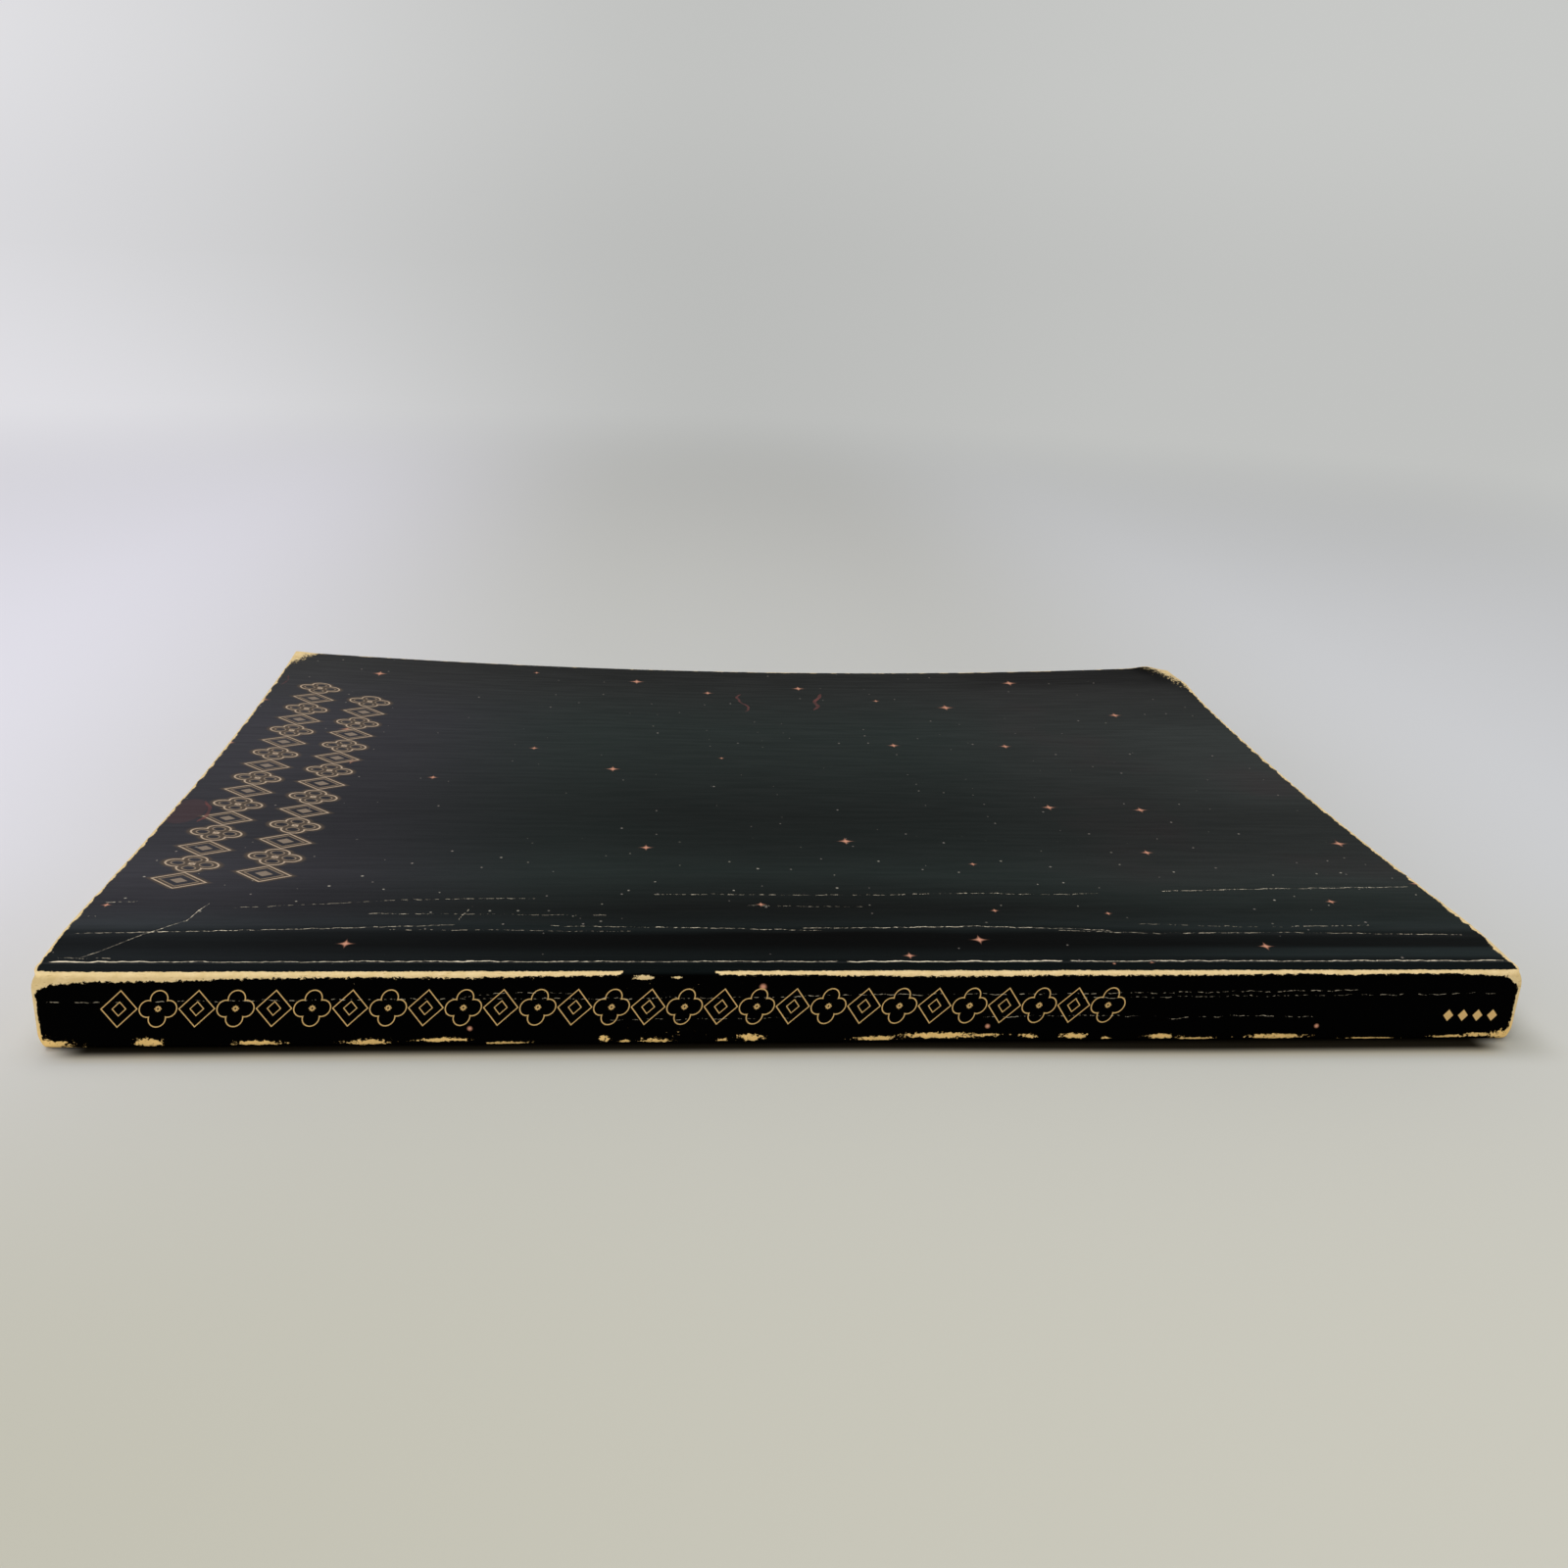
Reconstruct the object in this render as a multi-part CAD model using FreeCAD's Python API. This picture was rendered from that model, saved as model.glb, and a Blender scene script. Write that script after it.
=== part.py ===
import FreeCAD, Part

import math
import os

# A well-read perfect-bound paperback lying on its back cover, spine towards -Y, head towards -X.
# One card is folded round the page block: a spine wrap glued on, and two covers that turn at the
# scored hinge lines.  The front cover has curled: it swells a little beside its hinge and rises along
# the fore edge, most at the corners, and the upper leaves follow it part of the way.  Millimetres,
# +Z up, origin under the middle of the closed book.

# The trimmed book
head_to_tail = 304.8
spine_to_fore_edge = 228.6
page_stack = 15.0

# The cover card, its folds, its hinge and its worn corners
card = 0.35
upper_fold_radius = 0.9
lower_fold_radius = 1.0
hinge_inset = 5.5
hinge_gap = 0.1
cover_corner_radius = 1.0

# The hot-melt binding
spine_glue = 0.6
side_glue = 0.3
side_glue_setback = 0.5

# The leaves
page_inset = 0.3
page_corner_radius = 1.0
page_follow = 0.75

# The curl of the front cover: where it starts, and how far it stands up at the fore edge
curl_start = 94.0
curl_middle_lift = 1.0
curl_head_lift = 5.2
curl_tail_lift = 5.8

# How far the curled surface is drawn past the trimmed edges before it is cut
overhang = 1.0

# The swell beside the hinge, and where it ends, from the spine's face
swell_height = 0.6
swell_end = 70.0

# Worked out
thickness = page_stack + 2 * side_glue + 2 * card
half_length = head_to_tail / 2
half_width = spine_to_fore_edge / 2
spine_face = -half_width
hinge_line = spine_face + hinge_inset
cover_start = hinge_line + hinge_gap
block_spine = spine_face + card + spine_glue
block_fore = half_width - page_inset
block_half_length = half_length - page_inset
block_bottom = card + side_glue
block_top = block_bottom + page_stack


def vec(x, y, z):
    return FreeCAD.Vector(x, y, z)


def export(shape, node):
    shape.exportStep(f"parts/{node}.step")
    print(f"{node}: {len(shape.Solids)} solid, {shape.Volume / 1000:.2f} cm3, valid {shape.isValid()}")


# Height of the front cover above a flat one


def swell(y):
    """The gentle rise beside the hinge."""
    share = (y - hinge_line) / (spine_face + swell_end - hinge_line)
    if not 0 < share < 1:
        return 0.0
    return swell_height * math.sin(math.pi * share) ** 2


def curl(x, y):
    """The curl towards the fore edge, least at its middle."""
    run = half_width - (spine_face + curl_start)
    share = max(0.0, y - spine_face - curl_start) / run
    corner_lift = curl_head_lift if x < 0 else curl_tail_lift
    across = (x / half_length) ** 2
    lift = curl_middle_lift + (corner_lift - curl_middle_lift) * across
    return lift * share ** 2


def stations_along(y_from):
    """Where the surface's control rows lie: over the swell, and then over the curl."""
    swell_stop = spine_face + swell_end
    curl_from = spine_face + curl_start
    steps = 4
    rows = [y_from + (swell_stop - y_from) * k / steps for k in range(steps + 1)]
    curl_to = half_width + overhang
    rows += [curl_from + (curl_to - curl_from) * k / steps for k in range(steps + 1)]
    return rows


def stations_across():
    """Control columns, even from head to tail."""
    steps = 8
    return [(half_length + overhang) * (2 * k / steps - 1) for k in range(steps + 1)]


def curled_face(y_from, level, share):
    """A cubic surface whose poles stand at level plus a share of the cover's height."""
    poles = [
        [vec(x, y, level + share * (curl(x, y) + swell(y))) for y in stations_along(y_from)]
        for x in stations_across()
    ]

    def clamped(count):
        knots = [float(k) for k in range(count - 2)]
        return knots, [4] + [1] * (len(knots) - 2) + [4]

    u_knots, u_mults = clamped(len(poles))
    v_knots, v_mults = clamped(len(poles[0]))
    surface = Part.BSplineSurface()
    surface.buildFromPolesMultsKnots(
        poles, u_mults, v_mults, u_knots, v_knots, False, False, 3, 3
    )
    return surface.toShape()


# Plan outlines


def rounded_plan(x_half, y_from, y_to, corner, z_from, height):
    """A flat slab with its two fore-edge corners rounded and its spine side square."""
    reach = corner * math.sqrt(0.5)
    y_turn = y_to - corner
    x_turn = x_half - corner
    points = [vec(-x_half, y_from, z_from), vec(x_half, y_from, z_from), vec(x_half, y_turn, z_from)]
    points += [vec(x_turn, y_to, z_from), vec(-x_turn, y_to, z_from), vec(-x_half, y_turn, z_from)]
    a, b, c, d, e, f = points
    tail_mid = vec(x_turn + reach, y_turn + reach, z_from)
    head_mid = vec(-x_turn - reach, y_turn + reach, z_from)
    edges = [
        Part.LineSegment(a, b).toShape(),
        Part.LineSegment(b, c).toShape(),
        Part.Arc(c, tail_mid, d).toShape(),
        Part.LineSegment(d, e).toShape(),
        Part.Arc(e, head_mid, f).toShape(),
        Part.LineSegment(f, a).toShape(),
    ]
    return Part.Face(Part.Wire(edges)).extrude(vec(0, 0, height))


def folded_section(inside, strip_end, x_from):
    """One face of the folded card, that far inside it: along the bottom, up the spine and back."""
    y_outer = spine_face + inside
    low = inside
    high = thickness - inside
    low_radius = lower_fold_radius - inside
    high_radius = upper_fold_radius - inside
    low_reach = low_radius * (1 - math.sqrt(0.5))
    high_reach = high_radius * (1 - math.sqrt(0.5))
    start = vec(x_from, strip_end, low)
    low_turn = vec(x_from, y_outer + low_radius, low)
    low_mid = vec(x_from, y_outer + low_reach, low + low_reach)
    low_up = vec(x_from, y_outer, low + low_radius)
    high_up = vec(x_from, y_outer, high - high_radius)
    high_mid = vec(x_from, y_outer + high_reach, high - high_reach)
    high_turn = vec(x_from, y_outer + high_radius, high)
    end = vec(x_from, strip_end, high)
    return [
        Part.LineSegment(start, low_turn).toShape(),
        Part.Arc(low_turn, low_mid, low_up).toShape(),
        Part.LineSegment(low_up, high_up).toShape(),
        Part.Arc(high_up, high_mid, high_turn).toShape(),
        Part.LineSegment(high_turn, end).toShape(),
    ]


def close_section(outer, inner, x_from, length):
    """Joins an outer and an inner run of edges at their ends, and extrudes the section along X."""
    low = Part.LineSegment(outer[0].Vertexes[0].Point, inner[0].Vertexes[0].Point).toShape()
    high = Part.LineSegment(outer[-1].Vertexes[-1].Point, inner[-1].Vertexes[-1].Point).toShape()
    wire = Part.Wire(Part.__sortEdges__(outer + inner + [low, high]))
    return Part.Face(wire).extrude(vec(length, 0, 0))


# The pieces


def make_spine_wrap():
    """The spine panel and the two glued strips, one folded piece of card."""
    outer = folded_section(0, hinge_line, -half_length)
    inner = folded_section(card, hinge_line, -half_length)
    return close_section(outer, inner, -half_length, head_to_tail)


def make_binding_glue():
    """The hot-melt film: a layer down the spine of the leaves and a thin wing under each strip."""
    wing_end = hinge_line - side_glue_setback
    x = -block_half_length
    outer = folded_section(card, wing_end, x)
    corners = [
        vec(x, wing_end, block_bottom),
        vec(x, block_spine, block_bottom),
        vec(x, block_spine, block_top),
        vec(x, wing_end, block_top),
    ]
    inner = [Part.LineSegment(a, b).toShape() for a, b in zip(corners, corners[1:])]
    return close_section(outer, inner, -block_half_length, 2 * block_half_length)


def make_page_block():
    """All the leaves, trimmed square, with the upper ones following the cover's curl."""
    headroom = curl_head_lift + curl_tail_lift
    slab = rounded_plan(
        block_half_length, block_spine, block_fore, page_corner_radius,
        block_bottom, page_stack + headroom,
    )
    under_curl = curled_face(hinge_line, block_top, page_follow).extrude(vec(0, 0, -2 * thickness))
    glued_strip = Part.makeBox(
        2 * block_half_length, hinge_line - block_spine, page_stack,
        vec(-block_half_length, block_spine, block_bottom),
    )
    return slab.common(under_curl).fuse(glued_strip).removeSplitter()


def make_front_cover():
    """The front panel of the card, swelling beside the hinge and curled towards the fore edge."""
    sheet = curled_face(cover_start, thickness, 1.0).extrude(vec(0, 0, -card))
    headroom = curl_head_lift + curl_tail_lift
    trim = rounded_plan(
        half_length, cover_start - overhang, half_width, cover_corner_radius,
        0, thickness + headroom,
    )
    return sheet.common(trim)


def make_back_cover():
    """The back panel of the card, flat on the table under the leaves."""
    return rounded_plan(half_length, cover_start, half_width, cover_corner_radius, 0, card)


os.makedirs("parts", exist_ok=True)
export(make_spine_wrap(), "spine_wrap")
export(make_binding_glue(), "binding_glue")
export(make_page_block(), "page_block")
export(make_front_cover(), "front_cover")
export(make_back_cover(), "back_cover")
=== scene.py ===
# %% [markdown]
# # A well-read paperback
# A large, thin-paged paperback lies on its back cover with its spine towards us. Its construction is
# already settled: five solids with two hinges. This lesson dresses them. The card gets its folds,
# creases, chipped edges and rubbed ink, the leaves get their edges, and nothing moves from its place.

# %% Load the frame
import math

import bmesh
import bpy
import numpy as np
from mathutils import Matrix, Vector


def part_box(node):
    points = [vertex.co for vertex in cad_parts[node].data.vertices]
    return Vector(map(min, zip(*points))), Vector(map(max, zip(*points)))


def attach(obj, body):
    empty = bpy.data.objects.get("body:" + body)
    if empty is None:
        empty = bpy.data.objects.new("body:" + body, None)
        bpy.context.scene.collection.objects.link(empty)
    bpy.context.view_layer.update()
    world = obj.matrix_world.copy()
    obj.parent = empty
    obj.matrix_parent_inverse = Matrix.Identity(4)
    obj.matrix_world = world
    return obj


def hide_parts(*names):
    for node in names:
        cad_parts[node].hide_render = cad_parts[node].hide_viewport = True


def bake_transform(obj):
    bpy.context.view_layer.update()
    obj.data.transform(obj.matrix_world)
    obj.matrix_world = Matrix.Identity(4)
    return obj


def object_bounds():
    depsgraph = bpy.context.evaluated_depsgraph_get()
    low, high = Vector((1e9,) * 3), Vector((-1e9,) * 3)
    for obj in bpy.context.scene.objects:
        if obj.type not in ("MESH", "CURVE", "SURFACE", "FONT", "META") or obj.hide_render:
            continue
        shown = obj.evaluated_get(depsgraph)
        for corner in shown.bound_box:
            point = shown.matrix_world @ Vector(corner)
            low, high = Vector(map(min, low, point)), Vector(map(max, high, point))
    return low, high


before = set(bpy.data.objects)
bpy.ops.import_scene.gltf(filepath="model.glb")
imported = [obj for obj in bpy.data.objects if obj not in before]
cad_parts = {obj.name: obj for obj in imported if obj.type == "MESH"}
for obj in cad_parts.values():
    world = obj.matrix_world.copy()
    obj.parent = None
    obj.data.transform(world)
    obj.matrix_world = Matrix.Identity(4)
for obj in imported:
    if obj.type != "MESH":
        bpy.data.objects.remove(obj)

cad_box = [list(corner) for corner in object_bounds()]

# %% [markdown]
# ## Sizes
# Blender works in metres, and a book is easier to think of in millimetres, so MM turns one into the
# other. The main sizes are read from the solids, so the looks follow them. The rest repeats what the
# solids were shaped with: how the front cover swells beside its hinge and curls at the fore edge.
# Finishes count in whole millimetres on the unfolded card, so its length and width are kept so too.

# %% Sizes of the book
MM = 0.001
length = cad_box[1][0] - cad_box[0][0]
width = cad_box[1][1] - cad_box[0][1]
half_length = length / 2
half_width = width / 2
spine_face = -half_width
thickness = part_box("spine_wrap")[1].z
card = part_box("back_cover")[1].z
hinge_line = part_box("spine_wrap")[1].y
hinge_inset = hinge_line - spine_face
upper_fold = 0.9 * MM
lower_fold = 1.0 * MM
corner_radius = 0.6 * MM
side_glue = 0.3 * MM
sheet_length = length / MM
sheet_width = width / MM
back_fold = -thickness / MM
print(f"book {length / MM:.1f} x {width / MM:.1f} x {thickness / MM:.1f} mm, card {card / MM:.2f} mm")

# %% Curl of the front cover
CURL_START = 94 * MM
MIDDLE_LIFT = 1.0 * MM
HEAD_LIFT = 5.2 * MM
TAIL_LIFT = 5.8 * MM
HEAD_EAR = (6.5 * MM, 13 * MM, 0.3 * MM, 0)
TAIL_EAR = (8 * MM, 19 * MM, -1.3 * MM, 0.6 * MM)
SWELL_HEIGHT = 0.75 * MM
SWELL_END = 75 * MM
CREASE = 19 * MM


def swell(from_spine, crease=CREASE):
    """The rise beside the hinge: straight up to the reading crease, then gently down again."""
    up = np.clip((from_spine - hinge_inset) / (crease - hinge_inset), 0, 1)
    down = np.clip((from_spine - crease) / (SWELL_END - crease), 0, 1)
    return SWELL_HEIGHT * up * np.cos(np.pi / 2 * down) ** 2


def curl(x, from_spine):
    """The lift towards the fore edge, with a bent corner at the head and at the tail."""
    share = np.clip((from_spine - CURL_START) / (width - CURL_START), 0, None)
    corner = np.where(x < 0, HEAD_LIFT, TAIL_LIFT)
    lift = (MIDDLE_LIFT + (corner - MIDDLE_LIFT) * (x / half_length) ** 2) * share**2
    for side, (across, along, bend, ridge) in ((-1, HEAD_EAR), (1, TAIL_EAR)):
        past_fold = 1 - (half_length - side * x) / across - (width - from_spine) / along
        lift = lift + bend * np.clip(past_fold, 0, None) + ridge * np.exp(-((past_fold / 0.5) ** 2))
    return lift


def hollow(distance, depth, reach):
    """A soft-edged groove, by the distance from its middle."""
    return -depth * np.exp(-((distance / reach) ** 2))


print(f"fore edge lifts {MIDDLE_LIFT / MM:.1f} mm at the middle, {TAIL_LIFT / MM:.1f} mm at the tail")

# %% [markdown]
# ## Shader arithmetic
# A material is a graph of nodes. Written by hand it is long, so one small class wraps an output
# socket and lets Python's own signs make the Math nodes: `1 - mask` adds a Subtract node. Every other
# kind of node comes from one method, `node`.

# %% A socket that Python can calculate with


class Wire:
    """One output socket of a material."""

    def __init__(self, tree, socket):
        self.tree = tree
        self.socket = socket

    def node(self, kind, settings=(), inputs=(), output=0):
        """Adds a node, sets it, fills its sockets with values or wires, and gives one output."""
        made = self.tree.nodes.new(kind)
        for name, value in dict(settings).items():
            if name == "curve":
                points = made.mapping.curves[0].points
                points[0].location, points[1].location = value[0], value[-1]
                for place in value[1:-1]:
                    points.new(*place)
                for point in points:
                    point.handle_type = "VECTOR"
                made.mapping.update()
            else:
                setattr(made, name, value)
        for name, value in dict(inputs).items():
            if isinstance(value, Wire):
                self.tree.links.new(value.socket, made.inputs[name])
            else:
                made.inputs[name].default_value = value
        return Wire(self.tree, made.outputs[output])

    def math(self, operation, *values):
        return self.node("ShaderNodeMath", {"operation": operation}, enumerate(values))

    def other(self, output):
        """Another output of the same node."""
        return Wire(self.tree, self.socket.node.outputs[output])

    def __add__(self, value):
        return self.math("ADD", self, value)

    __radd__ = __add__

    def __sub__(self, value):
        return self.math("SUBTRACT", self, value)

    def __rsub__(self, value):
        return self.math("SUBTRACT", value, self)

    def __mul__(self, value):
        return self.math("MULTIPLY", self, value)

    __rmul__ = __mul__

    def __truediv__(self, value):
        return self.math("DIVIDE", self, value)

    def __pow__(self, value):
        return self.math("POWER", self, value)

    def __abs__(self):
        return self.math("ABSOLUTE", self)

    def least(self, value):
        return self.math("MINIMUM", self, value)

    def most(self, value):
        return self.math("MAXIMUM", self, value)

    def rise(self, start, end):
        """0 below start, 1 above end, smooth between."""
        return self.node(
            "ShaderNodeMapRange",
            {"interpolation_type": "SMOOTHSTEP"},
            {"Value": self, "From Min": start, "From Max": end},
        )

    def fall(self, start, end):
        """1 below start, 0 above end, smooth between."""
        return 1 - self.rise(start, end)


def noise(place, scale, detail=2.0, roughness=0.5):
    """Cloudy noise around 0.5. Scale is how many blotches fit in a millimetre."""
    inputs = {"Vector": place, "Scale": scale, "Detail": detail, "Roughness": roughness}
    return place.node("ShaderNodeTexNoise", {}, inputs)


def mix(mask, first, second):
    """The first colour where the mask is 0, the second where it is 1."""
    first, second = ((*c, 1) if isinstance(c, tuple) else c for c in (first, second))
    return mask.node("ShaderNodeMix", {"data_type": "RGBA"}, {0: mask, 6: first, 7: second}, output=2)


def scaled(vector, factor):
    """A place or a colour times a number."""
    return vector.node("ShaderNodeVectorMath", {"operation": "SCALE"}, {0: vector, "Scale": factor})


def stretched(place, across, along):
    """The same place with its two directions scaled, for streaks."""
    return place.node(
        "ShaderNodeVectorMath", {"operation": "MULTIPLY"}, {0: place, 1: (across, along, 1)}
    )


def new_material(name):
    """An empty material with its shader, and the tree to build in."""
    material = bpy.data.materials.new(name)
    material.use_nodes = True
    tree = material.node_tree
    shader = next(n for n in tree.nodes if n.type == "BSDF_PRINCIPLED")
    return material, tree, shader


def sheet_place(tree):
    """Place on the unfolded sheet in millimetres: from the head, and from the spine's face."""
    uv = tree.nodes.new("ShaderNodeUVMap")
    uv.uv_map = "sheet"
    return scaled(Wire(tree, uv.outputs[0]), 1 / MM)


def object_place(tree):
    """Place in the book's own frame, in metres."""
    return Wire(tree, tree.nodes.new("ShaderNodeTexCoord").outputs["Object"])


def attribute(tree, name):
    """A value that the mesh carries in its points."""
    made = tree.nodes.new("ShaderNodeAttribute")
    made.attribute_name = name
    return Wire(tree, made.outputs["Fac"])


def finish_shader(shader, colour, roughness, height, depth, specular):
    """Colour, roughness and a bump whose height is in millimetres."""
    tree = colour.tree
    tree.links.new(colour.socket, shader.inputs["Base Color"])
    tree.links.new(roughness.socket, shader.inputs["Roughness"])
    shader.inputs["Specular IOR Level"].default_value = specular
    bump = height.node("ShaderNodeBump", {}, {"Height": height, "Distance": depth, "Strength": 1.0})
    tree.links.new(bump.socket, shader.inputs["Normal"])


# %% [markdown]
# ## Card, ink and what wears them
# The cover is cream card printed black. Three things bare the card again: rubbing at folds and
# corners, chipping along the trimmed edges, and thin cracks where it has been bent. Each is a mask
# from 0 to 1. The mesh carries how worn a place is, and noise in the shader gives the ragged border.

# %% Masks of wear
CARD_LIGHT = (0.80, 0.62, 0.34)
CARD_DARK = (0.56, 0.38, 0.13)
CARD_LOW = (0.92, 0.62, 0.24)
CARD_DIRT = (0.40, 0.23, 0.07)
CARD_FRESH = (0.82, 0.72, 0.55)
CURVE_SPAN = 310.0
CURVE_SHIFT = 20.0
CRACK_WIDTH = 0.08


def bare_mask(tree, place):
    """1 where the ink has gone. The border frays most low on the spine and under the upper fold."""
    ragged = noise(place, 1.1, 5.0, 0.75) - 0.5
    coarse = noise(place, 0.22, 2.0) - 0.5
    up = parts_of(place)[1]
    low = up.fall(-13, -11.5)
    under_fold = up.fall(-0.6, -0.1) * up.rise(-5, -3)
    fraying = low * 0.9 + under_fold * 0.8 + 1.2
    rubbed = (attribute(tree, "rub") + ragged * fraying + coarse * 0.4).rise(0.46, 0.54)
    rim = attribute(tree, "rim") / MM
    chipped = (rim + ragged + coarse * 1.8).fall(0.42, 0.55)
    return rubbed.most(chipped)


def line_through(along, points):
    """Where a line through points lies, at each place along it."""
    shares = [(a / CURVE_SPAN, (b + CURVE_SHIFT) / CURVE_SPAN) for a, b in points]
    place = along.node("ShaderNodeFloatCurve", {"curve": shares}, {"Value": along / CURVE_SPAN})
    return place * CURVE_SPAN - CURVE_SHIFT


def crack_mask(place, from_head, from_spine, cracks, cross_cracks):
    """1 on the thin broken lines where the ink has cracked."""
    wobble = (noise(place, 0.25, 3.0, 0.6) - 0.5) * 1.5
    nearest = from_head * 0.0 - 1.0
    runs = [(from_head, from_spine, *crack) for crack in cracks]
    runs += [(from_spine, from_head, *crack) for crack in cross_cracks]
    for along, across, strength, points in runs:
        off = abs(across + wobble - line_through(along, points))
        start, end = points[0][0], points[-1][0]
        inside = along.rise(start - 1, start + 3) * along.fall(end - 3, end + 1)
        nearest = nearest.most(inside * (strength * CRACK_WIDTH + 0.4) - 0.4 - off)
    dashes = noise(stretched(place, 0.75, 1.1), 1.0, 3.0, 0.7).rise(0.42, 0.6)
    faded = noise(stretched(place, 0.06, 0.3), 1.0, 2.0).rise(0.35, 0.6)
    return (nearest - (1 - dashes) * 0.1).rise(-0.035, 0.02) * (faded * 0.55 + 0.45)


def card_colour(place, up):
    """Bare card, browned unevenly and most along the lower fold, with dark specks of dirt."""
    cloud = noise(place, 0.35, 4.0, 0.65).rise(0.3, 0.7)
    speck = noise(stretched(place, 0.4, 1.6), 1.0, 3.0, 0.6).rise(0.6, 0.72)
    card_tone = mix(up.fall(-14, -9), CARD_LIGHT, CARD_LOW)
    card_tone = mix(cloud * 0.4, card_tone, CARD_DARK)
    return mix(speck * 0.55, card_tone, CARD_DIRT)


# %% [markdown]
# ## Ornament
# A printed frieze of slanted lozenges and four-petalled flowers stands along the spine and twice on
# the front. A shape's outline is where its distance function is zero, so each shape is a short formula
# in the frieze's own coordinates: how far along, and how far above its middle line.

# %% Frieze of lozenges and flowers
SLANT = 0.2


def lozenge(along, above, half_across, half_height):
    """Distance to a diamond."""
    slope = math.hypot(1 / half_across, 1 / half_height)
    return (abs(along) / half_across + abs(above) / half_height - 1) / slope


def flower(along, above, reach):
    """Distance to four petals as tall as the row."""
    petal = reach * 0.46
    out = reach - petal
    beside = ((abs(along) - out) ** 2.0 + above * above) ** 0.5
    over = (along * along + (abs(above) - out) ** 2.0) ** 0.5
    return beside.least(over) - petal


def frieze(along, above, half_height, units, unit):
    """A row of lozenges and flowers: distance to their outlines and to their cores, and a mask."""
    slanted = along - above * SLANT
    inside = slanted.rise(-0.05, 0.05) * slanted.fall(units * unit - 0.05, units * unit + 0.05)
    here = slanted.math("FLOORED_MODULO", slanted, unit)
    gem = lozenge(here - unit * 0.25, above, unit * 0.23, half_height)
    reach = min(unit * 0.24, half_height)
    petals = here - unit * 0.75
    bloom = flower(petals, above * (reach / half_height), reach)
    core = (gem + half_height * 0.4).least(abs(petals) + abs(above) - half_height * 0.16)
    return gem.least(bloom), core, inside


# %% Black ink of the cover, with a painted sheen
# How grey the painted sheen makes the ink, by the distance from the spine, and what the two ends add to
# it.
SHEEN_ALONG = [
    (0, 5), (5, 5), (8, 6), (12, 0.6), (17, 0.3), (20, 9), (24, 5), (30, 2.2), (50, 13), (68, 7.5),
    (90, 5.5), (110, 8), (130, 11.5), (160, 14), (200, 11), (229, 5),
]
SHEEN_ENDS = [
    (0, 21), (15, 20), (42, 12), (60, 8.5), (80, 5), (120, 0.5), (160, 0), (200, 1.5), (240, 5.5),
    (300, 8),
]
# The tints colour the painted sheen.
TINT_MIDDLE = (0.72, 1.12, 1.04)
TINT_HEAD = (0.98, 0.96, 1.18)
TINT_FORE_EDGE = (0.98, 1.0, 0.98)
TINT_SPINE = (0.74, 1.06, 1.14)
TINT_TAIL = (1.12, 0.96, 1.0)


def ink_and_sheen(place, from_head, from_spine):
    """Soft black with fine streaks and a painted sheen, greyer in broad bands and towards both ends."""
    streak = noise(stretched(place, 0.03, 0.8), 1.0, 4.0, 0.7).rise(0.25, 0.75)
    cloud = noise(place, 0.014, 3.0)
    drift = (cloud - 0.5) * 16.0
    away = from_spine.rise(12, 24)
    # Painted sheen: the grey level stands in for light that the wavy cover reflects.
    grey = line_through(from_spine + drift * away, SHEEN_ALONG)
    grey = grey + line_through(from_head + drift, SHEEN_ENDS) * (away * 0.75 + 0.25)
    strip = from_head.rise(200, 290) * from_spine.rise(6.5, 8) * from_spine.fall(10.5, 12)
    tail = from_head.rise(250, 290) * from_spine.rise(95, 110) * from_spine.fall(160, 180)
    grey = grey + strip * 11.0 + tail * 6.0
    # Painted shade: less sheen along the fore edge near the tail, and almost none at the bent tail
    # corner.
    shaded = from_head.rise(215, 240) * from_spine.rise(206, 216)
    to_tail_corner = (from_head + from_spine) * -1.0 + (sheet_length + sheet_width)
    grey = grey * (1 - shaded * 0.5) * (1 - to_tail_corner.fall(9, 20) * 0.9)
    level = (grey * (streak * 0.3 + 0.85)).most(0.3) * 0.001
    tint = mix(from_head.fall(40, 110), TINT_MIDDLE, TINT_HEAD)
    tint = mix(from_spine.rise(160, 225) * 0.8, tint, TINT_FORE_EDGE)
    tint = mix(from_spine.fall(14, 34) * 0.7, tint, TINT_SPINE)
    warm = (cloud.rise(0.5, 0.66) * 0.5 + 0.5) * from_spine.rise(30, 60) * from_head.rise(195, 245)
    return scaled(mix(warm * 0.85, tint, TINT_TAIL), level)


# %% Stars, dust and scuffs
STAR_BIG = (0.62, 0.29, 0.19)
STAR_SMALL = (0.34, 0.30, 0.27)
DUST = (0.52, 0.48, 0.40)
SCUFF = (0.14, 0.045, 0.042)
SCUFFS = [
    (5.0, [(181, 148.6), (184, 150.8), (188, 151.2), (193, 148.6), (198, 148.0), (203, 150.0)]),
    (8.0, [(184, 171.6), (189, 174.2), (194, 173.2), (199, 175.6), (204, 176.4)]),
    (6.0, [(81, 8.0), (86, 9.4), (92, 8.7), (98, 5.6)]),
    (2.0, [(194, 2.0), (201, 3.5), (207, 2.0)]),
]


def stars(place, cell, share, reach, power):
    """A scatter of four-pointed sparkles, one cell each, kept by chance."""
    nearest = place.node(
        "ShaderNodeTexVoronoi",
        {"voronoi_dimensions": "2D", "distance": "MINKOWSKI"},
        {"Vector": scaled(place, 1 / cell), "Scale": 1.0, "Exponent": power, "Randomness": 1.0},
    )
    chance = nearest.node("ShaderNodeSeparateColor", {}, {0: nearest.other("Color")})
    size = chance.other("Green") * 0.8 + 0.4
    kept = chance.fall(share - 0.001, share + 0.001)
    return (nearest * cell / (size * reach)).fall(0.1, 0.95) * kept
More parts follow.
